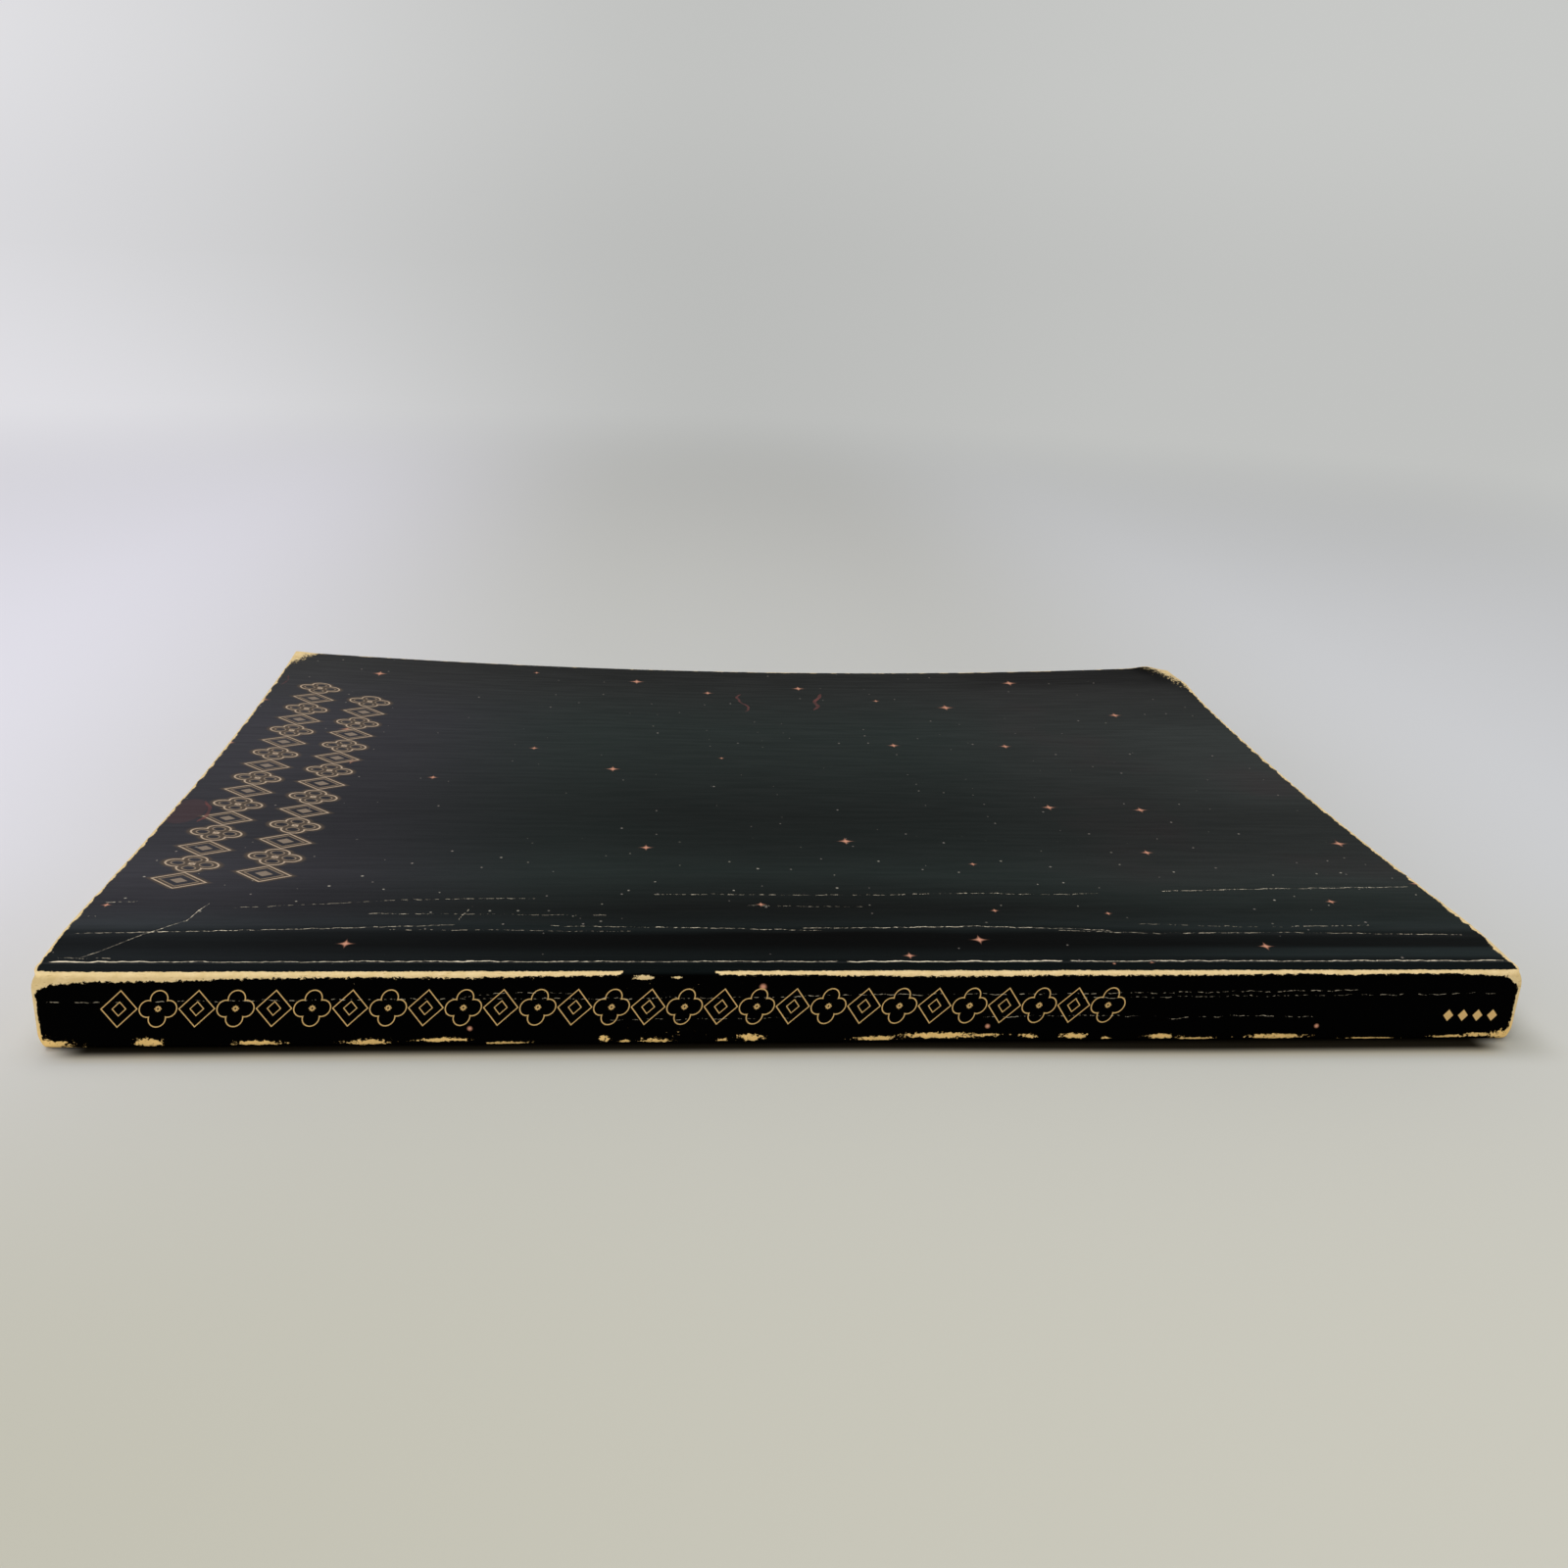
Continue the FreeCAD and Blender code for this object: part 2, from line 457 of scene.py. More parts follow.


# %% [markdown]
# ## Printed finishes
# The spine carries the frieze in gold line and a short row of small gold lozenges near its tail. The
# front carries two rows in bronze with a soft glow, and a scatter of stars. Both share ink, its painted
# sheen, and wear.

# %% Spine finish
GOLD = (0.66, 0.44, 0.18)
SPINE_INK = (0.0007, 0.0007, 0.0007)
SPINE_ROW_START = 12.3
SPINE_ROW_MIDDLE = -7.5
SPINE_ROW_HALF = 4.0
SPINE_UNITS = 14
SPINE_UNIT = 14.7
GEM_START = 288.0
GEM_PITCH = 3.3
GEM_COUNT = 4
GEM_MIDDLE = -10.3
GEM_HALF = (1.1, 1.35)
SPINE_CRACKS = [
    (0.5, [(0, -6.1), (60, -5.6), (130, -5.5), (166, -4.9), (208, -4.8), (229, -4.6), (250, -4.4),
           (271, -4.1)]),
    (0.45, [(205, -5.9), (233, -5.6), (250, -5.45), (302, -5)]),
    (0.3, [(80, -5.4), (91, -4.2), (106, -4.3)]),
    (0.3, [(107, -10.4), (150, -10.2)]),
    (0.45, [(186, -10), (215, -9.9), (229, -10.7), (242, -10.3), (262, -10.4)]),
]


def parts_of(place):
    """The two numbers of a place on the sheet."""
    apart = place.node("ShaderNodeSeparateXYZ", {}, {0: place})
    return apart, apart.other(1)


def worn_card(tree, shader, place, printed, cracked, specular, gloss):
    """Puts cracks and bare card over the print, and gives the card its surface."""
    worn = bare_mask(tree, place)
    bare = worn.most(cracked)
    colour = mix(cracked, printed, CARD_FRESH)
    colour = mix(worn, colour, card_colour(place, parts_of(place)[1]))
    smear = noise(stretched(place, 0.05, 0.5), 1.0, 3.0).rise(0.3, 0.7)
    roughness = (gloss + smear * 0.08) * (1 - bare) + bare * 0.85
    fibre = noise(place, 3.0, 3.0, 0.6) * 0.2 + noise(place, 0.25, 2.0) * 0.4
    finish_shader(shader, colour, roughness, fibre - bare * 0.9, 0.05 * MM, specular)


def spine_finish():
    material, tree, shader = new_material("printed_spine")
    place = sheet_place(tree)
    from_head, up = parts_of(place)
    row, core, inside = frieze(
        from_head - SPINE_ROW_START, up - SPINE_ROW_MIDDLE, SPINE_ROW_HALF, SPINE_UNITS, SPINE_UNIT
    )
    line = abs(row).fall(0.05, 0.15).most(abs(core).fall(0.04, 0.13)) * inside
    along = from_head - GEM_START
    here = along.math("FLOORED_MODULO", along, GEM_PITCH) - GEM_PITCH / 2
    gems_end = GEM_COUNT * GEM_PITCH
    gem = lozenge(here, up - GEM_MIDDLE, *GEM_HALF).fall(-0.05, 0.08)
    gem = gem * along.rise(-0.1, 0.1) * along.fall(gems_end - 0.1, gems_end + 0.1)
    ink = mix(up.rise(-0.5, 0.8), SPINE_INK, ink_and_sheen(place, from_head, up))
    ink = mix(stars(place, 26.0, 0.5, 0.9, 2.0), ink, STAR_BIG)
    printed = mix(line.most(gem), ink, GOLD)
    cracked = crack_mask(place, from_head, up, SPINE_CRACKS, []) * 0.8
    worn_card(tree, shader, place, printed, cracked, 0.003, 0.5)
    return material


# %% Cover finish
INK_SPECULAR = 0.02
BRONZE = (0.46, 0.35, 0.25)
BRONZE_GLOW = (0.085, 0.062, 0.044)
ROW_HALF = 6.2
ROWS = [(14.8, 40.0, 8, 19.9), (32.2, 44.0, 7, 20.6)]
SCORE = hinge_inset / MM
MAIN_CREASE = [
    (0, 17), (36, 18.6), (65, 20.2), (90, 19.6), (127, 20), (152, 18.8), (163, 20), (191, 20.9),
    (213, 19.7), (230, 17.8), (257, 18), (305, 17),
]
SCORE_CRACKS = [
    (3.0, [(0, SCORE), (12, SCORE + 0.05), (24, SCORE)]),
    (1.5, [(20, SCORE), (60, SCORE + 0.1), (160, SCORE - 0.1)]),
    (2.6, [(76, SCORE + 0.1), (86, SCORE + 0.05)]),
    (2.8, [(158, SCORE - 0.1), (180, SCORE - 0.05), (207, SCORE)]),
    (1.8, [(205, SCORE), (305, SCORE)]),
    (0.4, [(0, SCORE + 1.4), (16, SCORE + 1.3)]),
]
COVER_CRACKS = [
    (1.1, [(0, 17), (17, 17.7), (36, 18.6), (51, 19.5), (65, 20.4), (80, 21.3)]),
    (0.5, [(62, 19), (88, 18.8), (106, 18.2), (118, 18.4)]),
    (1.0, [(96, 20.8), (127, 20.1), (140, 19.6), (158, 18.6)]),
    (1.2, [(150, 19.8), (163, 20.1), (191, 21), (213, 19.7), (222, 18.4)]),
    (1.0, [(206, 18.9), (230, 17.6), (257, 18), (302, 16.9)]),
    (1.0, [(0, 25.2), (6, 25.2)]),
    (0.8, [(57, 26.7), (72, 26.8), (104, 26.2), (112, 26)]),
    (0.9, [(0, 32.2), (12, 33.2)]),
    (0.8, [(28, 29.5), (50, 32), (67, 34.4), (96, 35.5)]),
    (0.9, [(118, 37.8), (150, 37.8), (172, 37.8), (195, 39.4), (211, 38.3), (225, 39.6)]),
    (1.2, [(236, 40.5), (262, 42.3), (304, 44.3)]),
    (0.7, [(138, 31.8), (150, 31.4), (170, 31)]),
    (0.6, [(225, 22.4), (254, 20.6), (283, 21.7)]),
]
CROSS_CRACKS = [
    (1.4, [(4.6, 5), (6.2, 6.3), (11, 11.2), (17.3, 16.8), (23, 22.9), (29.3, 24.1), (34.4, 25.7)]),
    (0.7, [(21.3, 77.7), (27, 79.6), (33, 81)]),
]


def bronze_row(from_head, from_spine, middle, start, units, unit, printed):
    """One outlined row that runs from the spine towards the fore edge, over what is printed."""
    row, core, inside = frieze(from_spine - start, middle - from_head, ROW_HALF, units, unit)
    outer = abs(row).fall(0.1, 0.26)
    inner = abs(row + 1.0).fall(0.05, 0.2).most(core.fall(-0.1, 0.1)) * 0.45
    glow = row.rise(-1.5, -0.9) * row.fall(0.2, 1.3) * inside
    printed = mix(glow * 0.85, printed, BRONZE_GLOW)
    return mix(outer.most(inner) * inside, printed, BRONZE)


def front_finish():
    material, tree, shader = new_material("printed_front")
    place = sheet_place(tree)
    from_head, from_spine = parts_of(place)
    printed = ink_and_sheen(place, from_head, from_spine)
    printed = mix(stars(place, 8.0, 0.22, 0.5, 1.0) * 0.8, printed, STAR_SMALL)
    printed = mix(stars(place, 27.0, 0.42, 3.7, 0.5), printed, STAR_BIG)
    dust = stars(place, 6.0, 0.15, 0.42, 2.0) * from_spine.rise(20, 26) * from_spine.fall(50, 80)
    printed = mix(dust * 0.8, printed, DUST)
    for middle, start, units, unit in ROWS:
        printed = bronze_row(from_head, from_spine, middle, start, units, unit, printed)
    graze = (((from_head - 3.5) / 5.0) ** 2.0 + ((from_spine - 89.5) / 9.0) ** 2.0).fall(0.8, 1.0)
    scuffed = (crack_mask(place, from_head, from_spine, [], SCUFFS) * 0.8).most(graze * 0.16)
    printed = mix(scuffed, printed, SCUFF)
    cracked = crack_mask(place, from_head, from_spine, COVER_CRACKS, CROSS_CRACKS)
    scored = crack_mask(place, from_head, from_spine, SCORE_CRACKS, []) * 1.6
    cracked = cracked.most(scored.least(1.0))
    worn_card(tree, shader, place, printed, cracked, INK_SPECULAR, 0.36)
    return material


# %% Back finish
BACK_SCORE = back_fold - SCORE
BACK_CRACKS = [
    (1.6, [(0, BACK_SCORE), (150, BACK_SCORE + 0.1), (305, BACK_SCORE)]),
    (0.8, [(14, -33.2), (90, -34.0), (170, -33.5)]),
    (0.7, [(150, -36.0), (240, -35.2), (300, -36.4)]),
]


def back_finish():
    material, tree, shader = new_material("printed_back")
    place = sheet_place(tree)
    from_head, up = parts_of(place)
    printed = ink_and_sheen(place, from_head, up * -1.0 + back_fold)
    cracked = crack_mask(place, from_head, up, BACK_CRACKS, [])
    worn_card(tree, shader, place, printed, cracked, INK_SPECULAR, 0.36)
    return material


# %% [markdown]
# ## Plain finishes
# The inside of the card is unprinted, its cut edge is frayed and dirty, the leaves have browned from
# their edges inwards, and the glue is a dull translucent film.

# %% Card inside and card edge
INSIDE_PALE = (0.76, 0.69, 0.54)
INSIDE_DULL = (0.70, 0.61, 0.45)
INSIDE_SPECK = (0.36, 0.24, 0.12)


def inside_finish():
    material, tree, shader = new_material("card_inside")
    place = scaled(object_place(tree), 1 / MM)
    cloud = noise(place, 0.02, 4.0, 0.6).rise(0.3, 0.75)
    speck = noise(place, 0.5, 2.0).rise(0.68, 0.78)
    colour = mix(speck * 0.35, mix(cloud, INSIDE_PALE, INSIDE_DULL), INSIDE_SPECK)
    finish_shader(shader, colour, cloud * 0.1 + 0.8, noise(place, 3.0, 3.0), 0.02 * MM, 0.3)
    return material


def edge_finish():
    material, tree, shader = new_material("card_edge")
    place = scaled(object_place(tree), 1 / MM)
    cloud = noise(place, 0.6, 4.0, 0.65).rise(0.3, 0.7)
    colour = mix(cloud, CARD_LIGHT, CARD_DARK)
    finish_shader(shader, colour, cloud * 0.1 + 0.85, noise(place, 4.0, 3.0), 0.05 * MM, 0.2)
    return material


# %% Leaves and glue
EDGE_PALE = (0.80, 0.71, 0.53)
EDGE_DULL = (0.60, 0.50, 0.33)
EDGE_BUNCH = (0.55, 0.43, 0.26)
EDGE_STAIN = (0.45, 0.33, 0.18)
GAP_SHADE = (0.16, 0.11, 0.06)
SHEET_PALE = (0.80, 0.73, 0.57)
SHEET_DULL = (0.76, 0.68, 0.51)
SHEET_TONED = (0.62, 0.50, 0.31)
GLUE_PALE = (0.66, 0.55, 0.33)
GLUE_DARK = (0.50, 0.38, 0.19)


def leaf_finish():
    """Striped leaf by leaf on the edges, and one toned sheet where a whole leaf shows."""
    material, tree, shader = new_material("leaves")
    place = scaled(object_place(tree), 1 / MM)
    x, y = parts_of(place)
    number = attribute(tree, "number")

    def by_leaf(pitch):
        return place.node("ShaderNodeCombineXYZ", {}, {0: x * 0.01, 1: y * 0.01, 2: number * pitch})

    per_leaf = noise(by_leaf(0.56), 1.0, 3.0, 0.7)
    bunch = noise(by_leaf(0.1), 1.0, 2.0)
    stain = noise(place, 0.06, 3.0, 0.6).rise(0.45, 0.75)
    striped = mix(per_leaf.rise(0.3, 0.7), EDGE_DULL, EDGE_PALE)
    striped = mix(bunch.rise(0.4, 0.7) * 0.5, striped, EDGE_BUNCH)
    striped = mix(stain * 0.4, striped, EDGE_STAIN)
    # Painted shade in the gaps between the leaves.
    striped = mix(attribute(tree, "gap") * 0.6, striped, GAP_SHADE)
    inward = attribute(tree, "inward")
    cloud = noise(place, 0.03, 4.0, 0.6)
    sheet = mix(cloud.rise(0.3, 0.7), SHEET_PALE, SHEET_DULL)
    toned = (inward + (cloud - 0.5) * 14.0).fall(0, 15)
    sheet = mix(toned * 0.7, sheet, SHEET_TONED)
    colour = mix(inward.rise(0.1, 0.8), striped, sheet)
    fibre = noise(place, 2.5, 3.0, 0.6)
    finish_shader(shader, colour, fibre * 0.1 + 0.83, fibre, 0.03 * MM, 0.3)
    return material


def glue_finish():
    material, tree, shader = new_material("binding_glue")
    place = scaled(object_place(tree), 1 / MM)
    cloud = noise(place, 0.4, 4.0, 0.6).rise(0.3, 0.7)
    colour = mix(cloud, GLUE_PALE, GLUE_DARK)
    finish_shader(shader, colour, cloud * 0.2 + 0.35, noise(place, 0.8, 3.0), 0.1 * MM, 0.5)
    return material


finishes = {
    "spine": spine_finish(),
    "front": front_finish(),
    "back": back_finish(),
    "inside": inside_finish(),
    "edge": edge_finish(),
    "leaf": leaf_finish(),
    "glue": glue_finish(),
}
print("finishes", [f"{m.name} {len(m.node_tree.nodes)} nodes" for m in finishes.values()])

# %% [markdown]
# ## Where the card is worn
# The places of wear are chosen and written on the unfolded sheet, in millimetres: first how
# far from the head, then how far from the spine's face, with minus numbers down the spine. Rubbed
# patches are small ovals, the top fold has a worn band, and the corners have lost their ink.

# %% Rubbed places
BAND_LOW = [
    (0, -4.2), (3.5, -2.2), (12, -1.5), (24, -1.6), (38, -1.0), (61, -0.7), (84, -0.9), (100, -0.4),
    (113, -0.3), (115, 1.4), (131, 1.4), (133, -0.2), (150, -0.2), (165, -0.6), (180, -0.8),
    (200, -0.5), (240, -0.5), (256, -0.1), (266, -0.5), (275, -0.2), (290, -0.2), (301, -1), (305, -4),
]
BAND_HIGH = [(0, 1.6), (8, 1.1), (305, 1.1)]
BAND_GAP = (114, 132)
BORDER = 1.4
HEAD_WEAR = 0.55
TAIL_WEAR = sheet_length - 0.6
CORNERS = [
    (0, 228.6, 7.5, 13), (304.8, 228.6, 8.5, 22), (0, -16.3, 7, 2.6), (304.8, -16.3, 4.2, 3.2),
]
RUBBED = [
    (2, -15.3, 4, 1.3), (21, -15, 2.2, 1.5), (42, -15.2, 5, 0.7), (63, -15.2, 4, 0.9),
    (78, -14.7, 5, 0.6), (91, -15.6, 4, 0.5), (110, -14.7, 1, 1.1), (114, -15.3, 1.2, 0.4),
    (120.7, -15.2, 3, 0.7),
    (134, -15.1, 1.2, 0.4), (140, -14.6, 2.4, 1.1), (166, -15, 4.5, 0.6), (179, -14.4, 7.5, 0.9),
    (189, -14.4, 4, 0.4), (198, -14.6, 1.6, 0.8), (208, -14.7, 2.6, 0.9), (215, -15.2, 1.1, 0.5),
    (227, -14.9, 3, 0.8), (234, -15.5, 4, 0.4), (252, -15.1, 5.5, 0.8), (273, -15.8, 5, 0.4),
    (291, -15.4, 4, 0.5), (297, -15, 3.5, 0.8), (303, -15.2, 2.6, 1.8),
    (118, -0.8, 1.8, 0.9), (124.5, -0.9, 1, 0.5),
]


def rub_field(u, v):
    """How rubbed each point is: half way is the border between ink and bare card.

    The worn band along the upper fold turns into the worn ends in a round corner.
    """
    low = np.interp(u, *zip(*BAND_LOW))
    high = np.interp(u, *zip(*BAND_HIGH))
    band = np.minimum(v - low, high - v) / BORDER
    band[(u > BAND_GAP[0]) & (u < BAND_GAP[1])] = -0.35
    ends = np.maximum(HEAD_WEAR - u, u - TAIL_WEAR) / BORDER
    corner = np.hypot(np.clip(band + 1, 0, None), np.clip(ends + 1, 0, None)) - 1.42
    on_spine = v < 1.2
    rub = 0.5 + np.where(on_spine, np.maximum(np.maximum(band, ends), corner), band)
    for middle_u, middle_v, reach_u, reach_v in RUBBED:
        away = np.hypot((u - middle_u) / reach_u, (v - middle_v) / (0.65 * reach_v))
        rub = np.maximum(rub, 1.0 - 0.5 * away)
    for middle_u, middle_v, reach_u, reach_v in CORNERS:
        away = (abs(u - middle_u) / reach_u) ** 0.8 + (abs(v - middle_v) / reach_v) ** 0.8
        rub = np.maximum(rub, 1.0 - 0.5 * away)
    return np.clip(rub, 0, 1)


print("rubbed places", len(RUBBED))

# %% [markdown]
# ## Working on a mesh
# A few helpers keep the steps short. Everything is deselected before a new piece, edit mode is entered
# and left in one place, and what a point needs to carry is stored as an attribute or as the UV map
# called sheet, which holds the point's place on the unfolded card.

# %% Mesh helpers
tiny = 0.01 * MM


def deselect_all():
    bpy.ops.object.select_all(action="DESELECT")


def add_grid(name, columns, rows, corner, opposite, height):
    """A flat grid between two corners, its place applied to its mesh."""
    deselect_all()
    middle = ((corner[0] + opposite[0]) / 2, (corner[1] + opposite[1]) / 2, height)
    spans = (opposite[0] - corner[0], opposite[1] - corner[1], 1)
    bpy.ops.mesh.primitive_grid_add(
        x_subdivisions=columns, y_subdivisions=rows, size=1, location=middle
    )
    piece = bpy.context.object
    piece.scale = spans
    piece.name = name
    piece.data.name = name
    bpy.ops.object.transform_apply(location=True, rotation=True, scale=True)
    return piece


def select_edges(piece, belongs):
    """In edit mode: selects the edges with both ends where belongs says."""
    bpy.ops.mesh.select_mode(type="EDGE")
    bpy.ops.mesh.select_all(action="DESELECT")
    mesh = bmesh.from_edit_mesh(piece.data)
    for edge in mesh.edges:
        edge.select = all(belongs(vertex.co) for vertex in edge.verts)
    mesh.select_flush_mode()
    bmesh.update_edit_mesh(piece.data)


def pull_edges(offset, steps):
    """Extrudes the selected edges by an offset, in equal steps."""
    step = tuple(part / steps for part in offset)
    for _ in range(steps):
        bpy.ops.mesh.extrude_region_move(TRANSFORM_OT_translate={"value": step})


def points_of(piece):
    """All the vertices' places as one array."""
    flat = np.empty(len(piece.data.vertices) * 3)
    piece.data.vertices.foreach_get("co", flat)
    return flat.reshape(-1, 3)


def place_points(piece, points):
    piece.data.vertices.foreach_set("co", np.ascontiguousarray(points, dtype=np.float32).ravel())
    piece.data.update()


def store(piece, name, values):
    """Gives each vertex a value under a name."""
    made = piece.data.attributes.new(name, "FLOAT", "POINT")
    made.data.foreach_set("value", np.asarray(values, dtype=np.float32))


def store_sheet(piece, u, v):
    """Writes the place on the unfolded card into the UV map."""
    layer = piece.data.uv_layers[0]
    layer.name = "sheet"
    corners = np.empty(len(piece.data.loops), dtype=np.int32)
    piece.data.loops.foreach_get("vertex_index", corners)
    layer.data.foreach_set("uv", np.column_stack([u, v])[corners].astype(np.float32).ravel())


def thicken(piece, outer):
    """Gives the card its thickness inwards, with its own finish inside and on its edge."""
    for finish in (finishes[outer], finishes["inside"], finishes["edge"]):
        piece.data.materials.append(finish)
    bpy.ops.object.modifier_add(type="SOLIDIFY")
    wall = piece.modifiers[-1]
    wall.thickness = card
    wall.offset = -1
    wall.material_offset = 1
    wall.material_offset_rim = 2
    bpy.ops.object.modifier_apply(modifier=wall.name)
    bpy.ops.object.shade_smooth_by_angle(angle=math.radians(40))


def report(piece):
    """Prints how many triangles a piece has."""
    piece.data.calc_loop_triangles()
    print(f"{piece.name}: {len(piece.data.loop_triangles)} triangles")


def wander(places, pitch, seed):
    """Smooth random values between -1 and 1 along a line, one knot each pitch."""
    knots = np.random.RandomState(seed).uniform(-1, 1, 4 + int(0.6 / pitch))
    at = np.clip((places + 0.2) / pitch, 0, len(knots) - 2)
    first = at.astype(int)
    share = at - first
    share = share * share * (3 - 2 * share)
    return knots[first] * (1 - share) + knots[first + 1] * share


def closeness(distance, reach):
    """1 at no distance, 0 from the reach on."""
    return np.clip(1 - distance / reach, 0, 1)


def round_corners(x, y, x_half, y_end, radius):
    """Moves the points at a slab's two far corners onto an arc."""
    inner_x = abs(x) - (x_half - radius)
    inner_y = y - (y_end - radius)
    in_corner = (inner_x > 0) & (inner_y > 0)
    reach = np.maximum(inner_x, inner_y) / np.maximum(np.hypot(inner_x, inner_y), tiny)
    new_x = np.where(in_corner, x_half - radius + inner_x * reach, abs(x))
    new_y = np.where(in_corner, y_end - radius + inner_y * reach, y)
    return new_x * np.sign(x), new_y


# %% [markdown]
# ## Spine card
# The spine is a strip of the card folded twice. It starts as the narrow strip that is glued on top of
# the leaves. Its edge is spun round the upper fold, pulled down the spine's face, spun round the lower
# fold and pulled back under the leaves, as the real sheet is folded on the binding machine.

# %% Fold the spine card
STRIP_INSET = 4.5 * MM
FOLD_STEPS = 8
strip_end = spine_face + STRIP_INSET


def fold_round(y, z):
    """Spins the selected edge a quarter turn round a line along X."""
    bpy.ops.mesh.spin(steps=FOLD_STEPS, angle=math.radians(90), axis=(-1, 0, 0), center=(0, y, z))


def fold_sheet(name, half_run, inset, y_end, columns, face_steps):
    """A sheet folded twice round the leaves, that far inside the outer face of the card."""
    face = spine_face + inset
    low, high = inset, thickness - inset
    low_turn, high_turn = lower_fold - inset, upper_fold - inset
    sheet = add_grid(name, columns, 6, (-half_run, face + high_turn), (half_run, y_end), high)
    bpy.ops.object.mode_set(mode="EDIT")
    select_edges(sheet, lambda co: co.y < face + high_turn + tiny)
    fold_round(face + high_turn, high - high_turn)
    select_edges(sheet, lambda co: co.z < high - high_turn + tiny)
    pull_edges((0, 0, low + low_turn - high + high_turn), face_steps)
    select_edges(sheet, lambda co: co.z < low + low_turn + tiny)
    fold_round(face + low_turn, low + low_turn)
    select_edges(sheet, lambda co: co.z < low + tiny)
    pull_edges((0, y_end - face - low_turn, 0), 4)
    bpy.ops.mesh.select_all(action="SELECT")
    bpy.ops.mesh.remove_doubles(threshold=tiny)
    bpy.ops.mesh.normals_make_consistent(inside=False)
    bpy.ops.object.mode_set(mode="OBJECT")
    folded = points_of(sheet)
    print(name, "from", folded.min(0) / MM, "to", folded.max(0) / MM, "mm")
    return sheet


CRUSH = 1.2 * MM
CRUSH_REACH = 3.6 * MM
CRUSH_LENGTH = 4 * MM
END_SINK = 0.25 * MM


def crush(x, y, z):
    """Where a point lies along the spine once the ends of the two folds have been worn round."""
    from_fold = np.hypot(y - spine_face, np.minimum(abs(z - thickness), abs(z)))
    at_fold = closeness(from_fold, CRUSH_REACH) ** 2
    at_end = closeness(half_length - abs(x), CRUSH_LENGTH) ** 2
    return x - np.sign(x) * CRUSH * at_fold * at_end


# %% Mark and crush the spine card
def unfold(points):
    """Place on the sheet: from the head, and from the spine's face with minus down the spine."""
    x, y, z = points.T
    on_top = y - spine_face
    down = z - thickness
    under = -thickness - (y - spine_face)
    turn_top = np.degrees(np.arctan2(z - (thickness - upper_fold), spine_face + upper_fold - y))
    turn_low = np.degrees(np.arctan2(lower_fold - z, spine_face + lower_fold - y))
    v = np.where(z > thickness - tiny, on_top, down)
    in_top = (z > thickness - upper_fold) & (y < spine_face + upper_fold)
    v = np.where(in_top, upper_fold * (turn_top / 45 - 1), v)
    in_low = (z < lower_fold) & (y < spine_face + lower_fold)
    v = np.where(in_low, -thickness + lower_fold * (1 - turn_low / 45), v)
    v = np.where((z < tiny) & (y >= spine_face + lower_fold), under, v)
    return x + half_length, v


def mark(piece, u, v, rim):
    """Stores what the finishes of the card read."""
    store_sheet(piece, u, v)
    store(piece, "rub", rub_field(u / MM, v / MM))
    store(piece, "rim", rim)


spine_card = fold_sheet("spine_card", half_length, 0, strip_end, 400, 28)
points = points_of(spine_card)
u, v = unfold(points)
from_end = np.minimum(u, length - u)
mark(spine_card, u, v, from_end)
x, y, z = points.T
sink = END_SINK * closeness(from_end, CRUSH_LENGTH) ** 2
place_points(spine_card, np.column_stack([crush(x, y, z), y + sink, z]))
thicken(spine_card, "spine")
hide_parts("spine_wrap")
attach(spine_card, "bound_pages")
report(spine_card)

# %% [markdown]
# ## Front card
# The front panel starts as a grid over its flat outline. Rows are pulled on at the spacing that each
# zone needs: close at the hinge and over the creases, wide in the middle, close again at the fore
# edge. Then every point is lifted to the card's real height, the corners are rounded and the edges
# chipped.

# %% Pull out the front card
COLUMNS = 200
EDGE_CUTS = (0.4 * MM, 0.8 * MM)
# How far each zone reaches, and in how many rows. The one without a reach takes what is left.
PANEL_ZONES = [(hinge_inset + 1 * MM - STRIP_INSET, 8), (40 * MM, 80), (0, 82), (6 * MM, 12)]


def pull_panel(name, height):
    """A flat panel from the glued strip to the fore edge, its rows spaced by zone."""
    first, rows = PANEL_ZONES[0]
    end = strip_end + first
    piece = add_grid(name, COLUMNS, rows, (-half_length, strip_end), (half_length, end), height)
    bpy.ops.object.mode_set(mode="EDIT")
    select_edges(piece, lambda co: co.y > end - tiny)
    rest = width - STRIP_INSET - sum(reach for reach, rows in PANEL_ZONES)
    for reach, rows in PANEL_ZONES[1:]:
        pull_edges((0, reach or rest, 0), rows)
    for side in (-1, 1):
        for inset in EDGE_CUTS:
            bpy.ops.mesh.select_all(action="SELECT")
            bpy.ops.mesh.bisect(plane_co=(side * (half_length - inset), 0, 0), plane_no=(1, 0, 0))
    bpy.ops.object.mode_set(mode="OBJECT")
    return piece


# %% Trim and chip a panel
CHIP_DEPTH = 0.4 * MM
CHIP_REACH = 1.5 * MM


def chips(fine, coarse, from_edge):
    """How deep an edge is chipped: where two random runs agree, and only beside the edge."""
    return CHIP_DEPTH * np.clip(fine * coarse - 0.15, 0, 1) * closeness(from_edge, CHIP_REACH)


def trim_outline(x, y, seed):
    """Rounds the two fore-edge corners and chips the edges. Also gives the distance to the edge."""
    side = np.sign(x)
    from_end = half_length - abs(x)
    from_fore_edge = half_width - y
    # The shift by side gives the two ends other chips.
    end_chips = chips(wander(y + side * 0.31, 2.2 * MM, seed), wander(y, 9 * MM, seed + 1), from_end)
    fore_chips = chips(wander(x, 3 * MM, seed + 2), wander(x, 13 * MM, seed + 3), from_fore_edge)
    new_x, new_y = round_corners(x, y, half_length, half_width, corner_radius)
    rim = np.minimum(from_end, from_fore_edge + CHIP_DEPTH)
    return new_x - side * end_chips, new_y - fore_chips, rim


